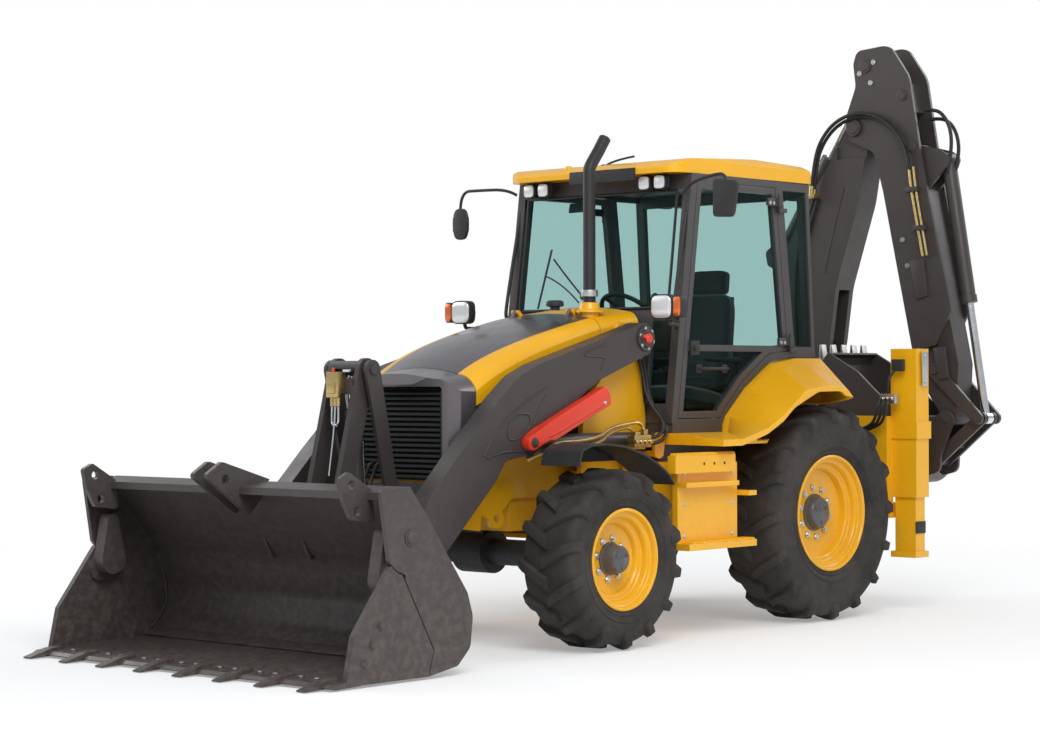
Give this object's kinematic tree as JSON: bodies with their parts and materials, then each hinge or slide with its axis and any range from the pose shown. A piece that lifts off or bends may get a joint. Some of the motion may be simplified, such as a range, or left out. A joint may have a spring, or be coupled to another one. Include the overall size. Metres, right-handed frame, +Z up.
{
  "type": "backhoe loader",
  "caption": "Four-wheel backhoe loader with a glazed cab, a clam loader bucket on two arms in front and a side-shift backhoe folded upright behind.",
  "frame": {"origin": "on the ground below the middle of the machine's outline as parked", "axes": "+X forward, +Y to the machine's left, +Z up"},
  "size_m": [6.45, 2.6, 3.8656],
  "materials": {
    "yellow_paint": "satin worn paint",
    "yellow_body": "gloss paint",
    "boom_dark": "satin dark brown-grey paint",
    "hood_grey": "grey metallic paint",
    "engine_grey": "dull cast",
    "black_metal": "satin black",
    "cab_dark": "satin dark paint",
    "glass": "green tinted",
    "seat_fabric": "woven",
    "black_plastic": "moulded black",
    "lamp_case": "clear lens in black case",
    "axle_grey": "painted casting",
    "red_paint": "gloss red",
    "chrome_rod": "polished",
    "tyre": "dusty rubber"
  },
  "bodies": {
    "machine": {"chassis": "yellow_paint", "engine_block": "engine_grey", "nose": "hood_grey", "grille": "black_plastic", "cowl": "yellow_body", "exhaust": "black_metal", "cab_frame": "cab_dark", "cab_glass": "glass", "roof": "yellow_body", "driver_seat": "seat_fabric", "steering_column": "black_plastic", "rear_fenders": "yellow_body", "front_fenders": "black_plastic", "step_boxes": "yellow_paint", "lamps": "lamp_case", "mirrors": "black_plastic", "axles": "axle_grey", "rear_frame": "yellow_paint"},
    "hood": {"hood": "yellow_body", "hood_centre": "hood_grey"},
    "door_left": {"door_left": "cab_dark", "door_glass_left": "glass"},
    "door_right": {"door_right": "cab_dark", "door_glass_right": "glass"},
    "loader_arms": {"loader_arms": "boom_dark", "arm_strut": "red_paint"},
    "loader_bucket": {"bucket_back": "boom_dark"},
    "clam": {"clam": "boom_dark"},
    "front_wheel_left": {"front_tyre_left": "tyre", "front_rim_left": "yellow_paint"},
    "front_wheel_right": {"front_tyre_right": "tyre", "front_rim_right": "yellow_paint"},
    "rear_wheel_left": {"rear_tyre_left": "tyre", "rear_rim_left": "yellow_paint"},
    "rear_wheel_right": {"rear_tyre_right": "tyre", "rear_rim_right": "yellow_paint"},
    "knuckle_left": {"knuckle_left": "axle_grey"},
    "knuckle_right": {"knuckle_right": "axle_grey"},
    "lift_barrels": {"lift_barrels": "black_metal"},
    "lift_rods": {"lift_rods": "chrome_rod"},
    "tilt_lever": {"tilt_lever": "boom_dark"},
    "tilt_link": {"tilt_link": "boom_dark"},
    "tilt_barrel": {"tilt_barrel": "boom_dark"},
    "tilt_rod": {"tilt_rod": "chrome_rod"},
    "hoe_carriage": {"hoe_carriage": "yellow_paint"},
    "swing_post": {"swing_post": "boom_dark"},
    "boom": {"boom": "boom_dark"},
    "boom_barrel": {"boom_barrel": "boom_dark"},
    "boom_rod": {"boom_rod": "chrome_rod"},
    "dipper": {"dipper": "boom_dark"},
    "dipper_barrel": {"dipper_barrel": "boom_dark"},
    "dipper_rod": {"dipper_rod": "chrome_rod"},
    "dipper_extension": {"dipper_extension": "boom_dark"},
    "crowd_barrel": {"crowd_barrel": "boom_dark"},
    "crowd_rod": {"crowd_rod": "chrome_rod"},
    "hoe_lever": {"hoe_lever": "boom_dark"},
    "push_link": {"push_link": "boom_dark"},
    "hoe_bucket": {"hoe_bucket": "boom_dark"},
    "stabilizer_left": {"stabilizer_left": "yellow_paint"},
    "stabilizer_right": {"stabilizer_right": "yellow_paint"}
  },
  "joints": [
    {"name": "hood_hinge", "type": "hinge", "parent": "machine", "child": "hood", "pos_m": [0.15, 0, 1.972], "axis": [0, -1, 0], "range_deg": [0, 50]},
    {"name": "door_left_hinge", "type": "hinge", "parent": "machine", "child": "door_left", "pos_m": [-1.38, 0.744, 2.235], "axis": [0.1264, 0, 0.992], "range_deg": [0, 90]},
    {"name": "door_right_hinge", "type": "hinge", "parent": "machine", "child": "door_right", "pos_m": [-1.38, -0.744, 2.235], "axis": [-0.1264, 0, -0.992], "range_deg": [0, 90]},
    {"name": "steering_left", "type": "hinge", "parent": "machine", "child": "knuckle_left", "pos_m": [0.725, 0.69, 0.52], "axis": [0, 0, 1], "range_deg": [-32, 32]},
    {"name": "front_wheel_left", "type": "hinge", "parent": "knuckle_left", "child": "front_wheel_left", "pos_m": [0.725, 0.96, 0.52], "axis": [0, 1, 0], "continuous": true},
    {"name": "rear_wheel_left", "type": "hinge", "parent": "machine", "child": "rear_wheel_left", "pos_m": [-1.475, 0.844, 0.69], "axis": [0, 1, 0], "continuous": true},
    {"name": "steering_right", "type": "hinge", "parent": "machine", "child": "knuckle_right", "pos_m": [0.725, -0.69, 0.52], "axis": [0, 0, 1], "range_deg": [-32.1, 32.1]},
    {"name": "front_wheel_right", "type": "hinge", "parent": "knuckle_right", "child": "front_wheel_right", "pos_m": [0.725, -0.96, 0.52], "axis": [0, 1, 0], "continuous": true},
    {"name": "rear_wheel_right", "type": "hinge", "parent": "machine", "child": "rear_wheel_right", "pos_m": [-1.475, -0.844, 0.69], "axis": [0, 1, 0], "continuous": true},
    {"name": "loader_lift", "type": "hinge", "parent": "machine", "child": "loader_arms", "pos_m": [-0.055, 0, 1.8], "axis": [0, -1, 0], "range_deg": [0, 72]},
    {"name": "lift_barrel_pivot", "type": "hinge", "parent": "machine", "child": "lift_barrels", "pos_m": [-0.175, 0, 1.18], "axis": [0, -1, 0], "range_deg": [-0.11, 54.28]},
    {"name": "lift_rod_slide", "type": "slide", "parent": "lift_barrels", "child": "lift_rods", "axis": [1, 0, 0], "range_m": [-0.00118, 0.59303]},
    {"name": "bucket_tilt", "type": "hinge", "parent": "loader_arms", "child": "loader_bucket", "pos_m": [1.955, 0, 0.365], "axis": [0, 1, 0], "range_deg": [-38, 115]},
    {"name": "tilt_lever_pivot", "type": "hinge", "parent": "loader_arms", "child": "tilt_lever", "pos_m": [1.63, 0, 0.88], "axis": [0, -1, 0], "range_deg": [-52.71, 17.49]},
    {"name": "tilt_link_pivot", "type": "hinge", "parent": "tilt_lever", "child": "tilt_link", "pos_m": [1.79, 0, 1.61], "axis": [0, -1, 0], "range_deg": [-9.03, 27.22]},
    {"name": "tilt_barrel_pivot", "type": "hinge", "parent": "loader_arms", "child": "tilt_barrel", "pos_m": [1.755, 0, 0.64], "axis": [0, -1, 0], "range_deg": [-42.81, 14.2]},
    {"name": "tilt_rod_slide", "type": "slide", "parent": "tilt_barrel", "child": "tilt_rod", "axis": [0.0361, 0, 0.9993], "range_m": [-0.1873, 0.06214]},
    {"name": "clam_hinge", "type": "hinge", "parent": "loader_bucket", "child": "clam", "pos_m": [2.547, 0, 0.738], "axis": [0, -1, 0], "range_deg": [0, 60]},
    {"name": "carriage_shift", "type": "slide", "parent": "machine", "child": "hoe_carriage", "axis": [0, 1, 0], "range_m": [0, 0.9]},
    {"name": "hoe_swing", "type": "hinge", "parent": "hoe_carriage", "child": "swing_post", "pos_m": [-2.925, -0.45, 0.86], "axis": [0, 0, 1], "range_deg": [0, 180]},
    {"name": "boom_lift", "type": "hinge", "parent": "swing_post", "child": "boom", "pos_m": [-2.925, -0.15, 0.9], "axis": [-1, 0, 0], "range_deg": [0, 110]},
    {"name": "boom_barrel_pivot", "type": "hinge", "parent": "swing_post", "child": "boom_barrel", "pos_m": [-2.925, -0.075, 0.76], "axis": [-1, 0, 0], "range_deg": [-0.22, 108.98]},
    {"name": "boom_rod_slide", "type": "slide", "parent": "boom_barrel", "child": "boom_rod", "axis": [0, 0.0252, 0.9997], "range_m": [-0.25931, 0.00052]},
    {"name": "dipper_crowd", "type": "hinge", "parent": "boom", "child": "dipper", "pos_m": [-2.925, 0.31, 3.312], "axis": [1, 0, 0], "range_deg": [0, 110]},
    {"name": "dipper_barrel_pivot", "type": "hinge", "parent": "boom", "child": "dipper_barrel", "pos_m": [-2.925, -0.43, 2.42], "axis": [1, 0, 0], "range_deg": [-0.02, 11.89]},
    {"name": "dipper_rod_slide", "type": "slide", "parent": "dipper_barrel", "child": "dipper_rod", "axis": [0, 0.5323, 0.8466], "range_m": [-0.67547, 0.00135]},
    {"name": "dipper_extend", "type": "slide", "parent": "dipper", "child": "dipper_extension", "axis": [0, 0.2079, -0.9781], "range_m": [0, 0.95]},
    {"name": "hoe_bucket_curl", "type": "hinge", "parent": "dipper_extension", "child": "hoe_bucket", "pos_m": [-2.925, 1.05, 1.292], "axis": [1, 0, 0], "range_deg": [0, 165]},
    {"name": "hoe_lever_pivot", "type": "hinge", "parent": "dipper_extension", "child": "hoe_lever", "pos_m": [-2.925, 0.955, 1.606], "axis": [1, 0, 0], "range_deg": [-0.21, 107.29]},
    {"name": "push_link_pivot", "type": "hinge", "parent": "hoe_lever", "child": "push_link", "pos_m": [-2.925, 1.29, 1.281], "axis": [1, 0, 0], "range_deg": [-47.18, 0.09]},
    {"name": "crowd_barrel_pivot", "type": "hinge", "parent": "dipper_extension", "child": "crowd_barrel", "pos_m": [-2.925, 1, 3.06], "axis": [1, 0, 0], "range_deg": [-1.5, 1.5]},
    {"name": "crowd_rod_slide", "type": "slide", "parent": "crowd_barrel", "child": "crowd_rod", "axis": [0, 0.1609, -0.987], "range_m": [-0.75226, 0.0015]},
    {"name": "stabilizer_left_slide", "type": "slide", "parent": "machine", "child": "stabilizer_left", "axis": [0, 0, -1], "range_m": [0, 0.35]},
    {"name": "stabilizer_right_slide", "type": "slide", "parent": "machine", "child": "stabilizer_right", "axis": [0, 0, -1], "range_m": [0, 0.35]}
  ],
  "couplings": [
    {"joint": "steering_right", "follows": "steering_left", "ratio": 1},
    {"joint": "lift_barrel_pivot", "follows": "loader_lift", "ratio": 0.75236},
    {"joint": "lift_rod_slide", "follows": "loader_lift", "m_per_rad": 0.47097},
    {"joint": "tilt_lever_pivot", "follows": "bucket_tilt", "ratio": -0.45748},
    {"joint": "tilt_link_pivot", "follows": "bucket_tilt", "ratio": 0.23619},
    {"joint": "tilt_barrel_pivot", "follows": "bucket_tilt", "ratio": -0.37153},
    {"joint": "tilt_rod_slide", "follows": "bucket_tilt", "m_per_rad": -0.093131},
    {"joint": "boom_barrel_pivot", "follows": "boom_lift", "ratio": 0.98877},
    {"joint": "boom_rod_slide", "follows": "boom_lift", "m_per_rad": -0.1348},
    {"joint": "dipper_barrel_pivot", "follows": "dipper_crowd", "ratio": 0.10787},
    {"joint": "dipper_rod_slide", "follows": "dipper_crowd", "m_per_rad": -0.35113},
    {"joint": "hoe_lever_pivot", "follows": "hoe_bucket_curl", "ratio": 0.64895},
    {"joint": "push_link_pivot", "follows": "hoe_bucket_curl", "ratio": -0.28538},
    {"joint": "crowd_barrel_pivot", "follows": "hoe_bucket_curl", "ratio": -0.000638},
    {"joint": "crowd_rod_slide", "follows": "hoe_bucket_curl", "m_per_rad": -0.2607}
  ]
}
